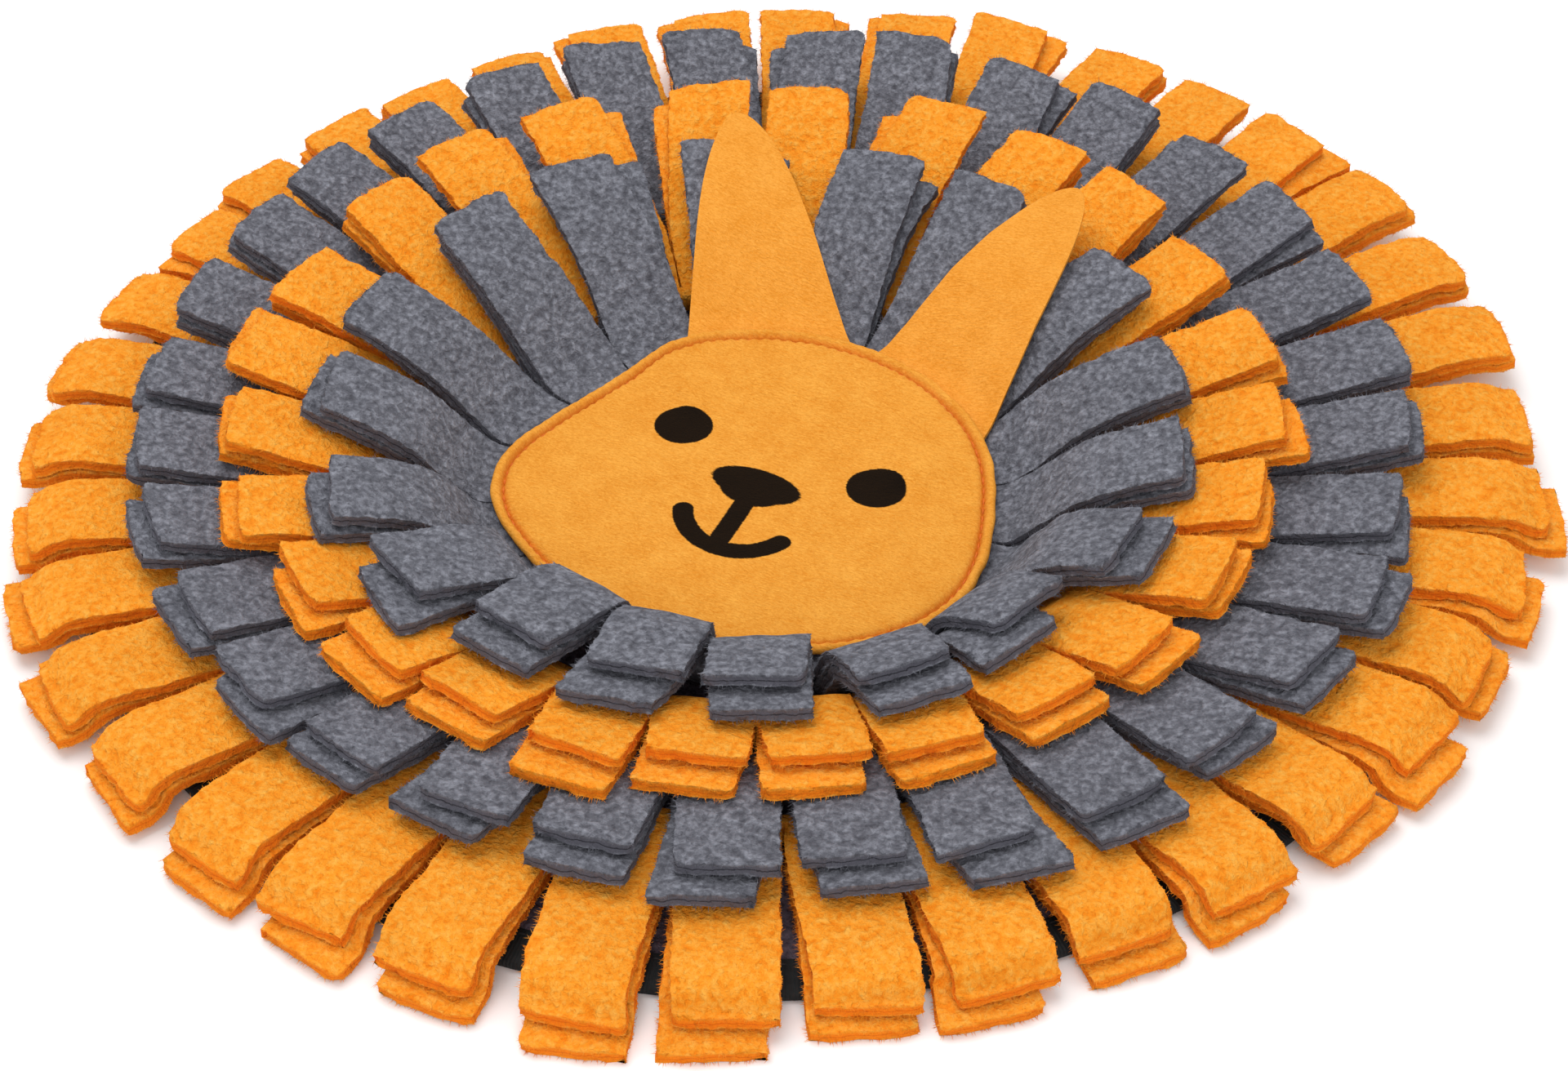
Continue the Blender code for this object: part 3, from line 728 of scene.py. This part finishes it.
def headRaise(turn, inset):
    # how far the ears under it raise the brow
    degrees = math.degrees(turn) % 360.0
    low, high = head["earZone"]
    roundShare = (smoothStep(low - head["fade"], low, degrees)
                  * (1.0 - smoothStep(high, high + head["fade"], degrees)))
    return head["raise"] * roundShare * (1.0 - smoothStep(head["band"], head["flat"], inset))


def makeHead(material):
    # rows from the underside's middle out to the edge and back over the top, each
    # (mm in from the edge, height)
    seam, wide, thick, rim = head["seam"], head["seamWide"] / 2, head["thick"], head["rim"]
    deep = head["seamDeep"]
    rows = [(60.0, 0.0), (40.0, 0.0), (24.0, 0.0), (12.0, 0.0), (6.0, 0.1), (2.0, 0.5),
            (0.5, 0.9), (0.0, 1.6), (0.0, 2.4), (0.3, thick + rim * 0.5),
            (0.8, thick + rim * 0.85), (1.5, thick + rim), (2.2, thick + rim * 0.8),
            (seam - wide, thick + rim * 0.4), (seam - wide / 2, thick - deep * 0.5),
            (seam, thick - deep), (seam + wide / 2, thick - deep * 0.5),
            (seam + wide, thick - 0.1), (seam + wide + 1.0, thick + 0.25), (7.5, thick + 0.4),
            (9.5, thick + 0.3), (11.2, thick + 0.1)]
    rows += [(inset, thick) for inset in np.arange(13.0, 76.0, 2.2)]
    points, grooveShade, steps = [], [], head["steps"]
    stitches = round(math.tau * head["radius"] / (stitch["long"] + stitch["gap"]))
    for inset, height in rows:
        near = math.exp(-((inset - seam) / head["puckerWide"]) ** 2)
        # painted shade: full on the underside, and in the seam's groove fading to each side
        grooveShadeShare = math.exp(-((inset - seam) / head["grooveShadeWide"]) ** 2) if height > 1.0 else 1.0
        for turn in turnsRound(steps):
            wander = noise.noise(Vector((math.cos(turn), math.sin(turn), 0.0)) * 9.0)
            fade = math.exp(-inset / head["unevenFade"])
            x, y = headPoint(turn, inset + head["uneven"] * wander * fade)
            z = head["under"] + height + headRaise(turn, inset)
            if height >= thick - deep - 0.1:     # the upper side
                z += wave(x, y, head["wave"]) + wave(x, y, head["ripple"])
                z += head["crown"] * smoothStep(*head["crownFrom"], inset)
                z -= near * head["pucker"] * (math.cos(turn * stitches)
                                              + wave(x, y, head["puckerWave"]))
            points.append((x, y, z))
            grooveShade.append(head["grooveShade"] * grooveShadeShare)
    faces = tubeFaces(len(rows), steps)
    for first in (0, (len(rows) - 1) * steps):
        middle = len(points)
        points.append(tuple(np.mean(points[first:first + steps], axis=0)))
        grooveShade.append(0.0)
        for step in range(steps):
            faces.append((middle, first + step, first + (step + 1) % steps))
    piece = pieceFromArrays("headFelt", points, faces, material, "head",
                            {"grooveShade": grooveShade}, sharp=60.0)


def stripHeightAt(ring, x, y):
    # the height of a ring's upper strips under a point, before their own play
    dx, dy = x - ring["centre"][0], y - ring["centre"][1]
    azimuth = math.atan2(dy, dx)
    wanted = math.hypot(dx, dy) - ring["root"]
    path = stripPath(ring, azimuth, plainLength(ring, azimuth), 0.0)
    if wanted <= 0.0:
        return path[0, 2]
    for before, after in zip(path, path[1:]):
        if wanted <= after[1] or after is path[-1]:
            break
    return mix(before[2], after[2], (wanted - before[1]) / (after[1] - before[1]))


def earHeight(x, y):
    # an ear lies level under the head, then lifts onto the inner ring's strips
    level = head["under"] + ear["thick"] / 2
    offCentre = math.hypot(x - head["centre"][0], y - head["centre"][1])
    onStrips = stripHeightAt(innerRing, x, y) + ear["above"]
    lifts, settles = ear["settles"]
    return mix(level, onStrips, smoothStep(innerRing["root"] + lifts,
                                           innerRing["root"] + settles, offCentre))


def makeEar(which, material):
    heading = math.radians(which["heading"])
    ahead = (math.cos(heading), math.sin(heading))
    aside = (-math.sin(heading), math.cos(heading))
    rows, columns = ear["rows"], ear["columns"]
    points = []
    across = np.linspace(-1.0, 1.0, columns + 1)
    for row in range(rows + 1):
        # the rows crowd together towards the round tip
        share = math.sin(math.pi / 2 * row / rows)
        out = -ear["tuck"] + (ear["length"] + ear["tuck"]) * share
        near = min(share, 0.9995)
        half = ear["half"] * (1.0 - ear["taper"] * near) * math.sqrt(1.0 - near ** ear["round"])
        half = max(half, ear["tip"])
        for up in (1, -1):
            for wide in (across if up > 0 else across[::-1]):
                # the felt's cut edge is slightly rounded
                edge = math.sqrt(max(min((1.0 - abs(wide)) * half, 1.0), 0.0))
                tall = ear["thick"] / 2 * (ear["cutThick"] + (1.0 - ear["cutThick"]) * edge)
                x = which["base"][0] + ahead[0] * out + aside[0] * wide * half
                y = which["base"][1] + ahead[1] * out + aside[1] * wide * half
                z = earHeight(x, y) + up * tall + wave(x, y, ear["wave"])
                points.append((x, y, z))
    around = 2 * (columns + 1)
    faces = tubeFaces(rows + 1, around)
    for start in (0, rows * around):
        for spot in range(columns):
            faces.append((start + spot, start + spot + 1, start + around - 2 - spot,
                          start + around - 1 - spot))
    piece = pieceFromArrays(which["piece"], points, faces, material, which["node"],
                            sharp=60.0)


disc = {
    "radius": 229.9, "thick": 3.0, "rim": 12.2, "rimThick": 1.2, "step": 1.6,
    "rows": 110, "steps": 360,
    "pile": (0.25, 5.0),  # how its upper side is lumpy
    "sewn": -1.2, "press": 1.0, "sewnWide": 2.4,   # where and how the rings' seams pull in
    "thread": 0.42, "threadSink": -0.5,      # and how their stitches lie on the underside
}


def turnedPiece(name, profile, wobble, material, node, aroundName=None):
    # a closed profile of (radius, height) turned round the middle; radius 0 is a pole
    steps = disc["steps"]
    points, columns = [], []
    for radius, height in profile:
        if radius == 0.0:
            columns.append([len(points)] * steps)
            points.append((0.0, 0.0, height))
            continue
        columns.append(list(range(len(points), len(points) + steps)))
        for turn in turnsRound(steps):
            x, y = onCircle((0.0, 0.0), radius, turn)
            points.append((x, y, height + wobble(x, y, height)))
    faces = []
    for here, there in zip(columns, columns[1:] + columns[:1]):
        for step in range(steps):
            after = (step + 1) % steps
            corners = list(dict.fromkeys((here[step], here[after], there[after], there[step])))
            if len(corners) > 2:
                faces.append(corners)
    values = {}
    if aroundName:    # how far round the edge each point is, in mm
        values = {aroundName: [math.atan2(y, x) * disc["radius"] for x, y, z in points]}
    return pieceFromArrays(name, points, faces, material, node, values)


def makeDisc(material):
    middle, inner = disc["thick"] / 2, disc["radius"] - disc["rim"]
    flat = inner - disc["step"]
    low, high = middle - disc["rimThick"] / 2, middle + disc["rimThick"] / 2
    spread = [flat * share for share in np.linspace(0.0, 1.0, disc["rows"])]
    profile = ([(r, 0.0) for r in spread] + [(inner, low), (disc["radius"], low),
                                             (disc["radius"], high), (inner, high)]
               + [(r, disc["thick"]) for r in spread[::-1]])

    def wobble(x, y, height):
        # the pile is lumpy on the face and pressed flat under the mat, where the
        # seams of the rings pull it up
        if height < middle:
            if math.hypot(x, y) > flat:
                return 0.0
            off = min(abs(math.hypot(x - ring["centre"][0], y - ring["centre"][1])
                          - ring["root"] - disc["sewn"]) for ring in rings)
            return disc["press"] * math.exp(-(off / disc["sewnWide"]) ** 2)
        return wave(x, y, disc["pile"]) - 0.05

    piece = turnedPiece("baseCloth", profile, wobble, material, "base_disc")


tape = {
    "thick": 0.6, "wide": 13.0, "gap": 0.3, "seam": 219.9, "seamHeight": 3.05,
    "threadSink": 0.4,
    "pucker": 0.14, "puckers": 157.0, "puckerFade": 3.0,   # waves between its stitches
}


def makeTape(material):
    middle = disc["thick"] / 2
    thick = tape["thick"]
    top = middle + disc["rimThick"] / 2 + tape["gap"] + thick
    outside = disc["radius"] + tape["gap"] + thick
    inside = outside - tape["wide"]
    profile = [(inside, 0.0), (inside + 4.0, 0.0), (outside - 4.0, 0.0), (outside - 0.9, 0.0),
               (outside - 0.25, 0.3), (outside, 0.9), (outside, top - 0.9),
               (outside - 0.25, top - 0.3), (outside - 0.9, top), (outside - 4.0, top),
               (inside + 2.6, top), (inside + 2.0, top - 0.15), (inside + 1.4, top),
               (inside + 0.2, top), (inside, top - 0.2), (inside, top - thick),
               (outside - thick, top - thick), (outside - thick, thick), (inside, thick)]

    def wobble(x, y, height):
        if height < middle:
            return 0.0
        fromInside = math.hypot(x, y) - inside
        return (tape["pucker"] * math.sin(math.atan2(y, x) * tape["puckers"])
                * math.exp(-fromInside / tape["puckerFade"]))

    piece = turnedPiece("edgeTape", profile, wobble, material, "edge_tape", "alongEdge")


def roundRoute(centre, radius, height):
    return [(*onCircle(centre, radius, turn), height) for turn in turnsRound(360)]


def makeStitches(name, route, sink, material):
    # one stitch is modelled as a slim bead of thread with its ends pulled down by sink,
    # then copied all along the closed route and joined
    bpy.ops.object.select_all(action="DESELECT")
    bpy.ops.mesh.primitive_uv_sphere_add(segments=6, ring_count=7, radius=1.0)
    first = bpy.context.object
    bpy.ops.object.mode_set(mode="EDIT")
    bpy.ops.mesh.select_all(action="SELECT")
    bpy.ops.transform.resize(value=(stitch["thick"] / 2, stitch["thick"] / 2,
                                    stitch["long"] / 2))
    bpy.ops.mesh.select_all(action="DESELECT")
    bpy.ops.object.mode_set(mode="OBJECT")
    for corner in first.data.vertices:
        corner.select = abs(corner.co.z) > stitch["long"] * stitch["ends"]
    bpy.ops.object.mode_set(mode="EDIT")
    bpy.ops.mesh.select_mode(type="VERT")
    bpy.ops.transform.translate(value=(-sink, 0.0, 0.0))
    bpy.ops.object.mode_set(mode="OBJECT")
    route = [Vector(place) for place in route]
    walked = [0.0]
    for a, b in zip(route, route[1:] + route[:1]):
        walked.append(walked[-1] + (b - a).length)
    many = round(walked[-1] / (stitch["long"] + stitch["gap"]))
    # each stitch lies on the route from its middle towards the next
    middles = []
    for index in range(many):
        distance = walked[-1] * index / many
        at = int(np.searchsorted(walked, distance, side="right")) - 1
        a, b = route[at], route[(at + 1) % len(route)]
        share = (distance - walked[at]) / (walked[at + 1] - walked[at])
        middles.append((a.lerp(b, share), (b - a).normalized()))
    copies = []
    for middle, ahead in middles:
        aside = Vector((0.0, 0.0, 1.0)).cross(ahead).normalized()
        up = ahead.cross(aside)
        turn = Matrix((up, aside, ahead)).transposed().to_4x4()
        copy = first.copy()
        copy.data = first.data.copy()
        copy.data.transform(Matrix.Scale(mm, 4) @ Matrix.Translation(middle) @ turn)
        bpy.context.scene.collection.objects.link(copy)
        copies.append(copy)
    bpy.data.objects.remove(first, do_unlink=True)
    bpy.ops.object.select_all(action="DESELECT")
    for copy in copies:
        copy.select_set(True)
    bpy.context.view_layer.objects.active = copies[0]
    bpy.ops.object.join()
    piece = bpy.context.object
    piece.name = piece.data.name = name
    finishPiece(piece, material, sharp=180.0)


# each fleece: painted crevice shade, plain colour, painted crest light, the painted shade of
# its cut edges, and its knitted ground
orangeFleece = fleeceMaterial("brushed fleece orange", "f68312", "ff9c2a", "ffb850",
                              "ff861a", "f07012")
greyFleece = fleeceMaterial("brushed fleece grey", "48484f", "64656d", "9496a0",
                            "5c5b64", "2e2d33")
baseFleece = fleeceMaterial("plain fleece dark grey", "3f3840", "5f5560", "786e7a",
                            "3a3439", "2b2529")
# each felt: its own two tones, and the painted shade of its seam's groove and underside
headFelt = feltMaterial("needled felt orange printed", "e48e2a", "f9ae48", "d0640e",
                        printed=True)
earFelt = feltMaterial("needled felt orange", "e8912a", "fdad48", "d0640e")
tapeCloth = ribbonMaterial("woven binding tape black", "17191a", "2d3132", 1.1)
orangeThread = threadMaterial("polyester thread orange", "d8700f")
blackThread = threadMaterial("polyester thread black", "1d1f20")

makeDisc(baseFleece)
makeTape(tapeCloth)
for ring in rings:
    makeRing(ring, orangeFleece if "orange" in ring["slot"] else greyFleece)
makeHead(headFelt)
for which in ears:
    makeEar(which, earFelt)

headSeam = []
for turn in turnsRound(head["seamSteps"]):
    x, y = headPoint(turn, head["seam"])
    z = (head["under"] + head["thick"] - head["seamDeep"] + head["thread"]
         + wave(x, y, head["wave"]) + headRaise(turn, head["seam"]))
    headSeam.append((x, y, z))
makeStitches("headStitches", headSeam, head["threadSink"], orangeThread)
makeStitches("tapeStitches", roundRoute((0.0, 0.0), tape["seam"], tape["seamHeight"]),
             tape["threadSink"], blackThread)
# the rings' seams show on the underside, pressed into the fleece
for ring in rings:
    makeStitches(ring["piece"] + "Stitches",
                 roundRoute(ring["centre"], ring["root"] + disc["sewn"], disc["thread"]),
                 disc["threadSink"], blackThread)

bpy.ops.object.select_all(action="DESELECT")
bpy.ops.mesh.primitive_plane_add(size=12.0, location=(0.0, 0.0, 0.0))
floor = bpy.context.object
floor.name = "floor"
# Painted board, near white and without shine
pale = finishMaterial(newMaterial("matte white board")[0], None, None,
                      Base_Color=linearFromHex("fbfbfb"), Roughness=0.9)
floor.data.materials.append(pale)

world = bpy.data.worlds.new("studio")
bpy.context.scene.world = world
world.use_nodes = True
world.node_tree.nodes["Background"].inputs["Color"].default_value = (1.0, 1.0, 1.0, 1.0)
world.node_tree.nodes["Background"].inputs["Strength"].default_value = 0.68

lamps = [
    {"name": "softKey", "place": (-0.5, 0.2, 1.7), "size": 1.2, "power": 17.5},
    {"name": "softFill", "place": (0.9, -1.3, 1.2), "size": 1.2, "power": 8.0},
]
for each in lamps:
    # each lamp looks at the middle of the mat
    place = Vector(each["place"])
    bpy.ops.object.light_add(type="AREA", location=place,
                             rotation=(-place).to_track_quat("-Z", "Y").to_euler())
    lamp = bpy.context.object
    lamp.name = each["name"]
    lamp.data.size, lamp.data.energy = each["size"], each["power"]

camera = {"pitch": 41.64, "azimuth": 27.0, "distance": 0.8915, "aim": (0.0207, -0.0300, 0.0),
          "lens": 61.875}
pitch, azimuth = math.radians(camera["pitch"]), math.radians(camera["azimuth"])
back = Vector((math.sin(azimuth) * math.cos(pitch), -math.cos(azimuth) * math.cos(pitch),
               math.sin(pitch)))
bpy.ops.object.camera_add(location=Vector(camera["aim"]) + back * camera["distance"],
                          rotation=(-back).to_track_quat("-Z", "Y").to_euler())
cameraObject = bpy.context.object
cameraObject.data.lens, cameraObject.data.sensor_width = camera["lens"], 36.0
bpy.context.scene.camera = cameraObject
bpy.context.scene.view_settings.view_transform = "Standard"
print("floor, light and camera set")
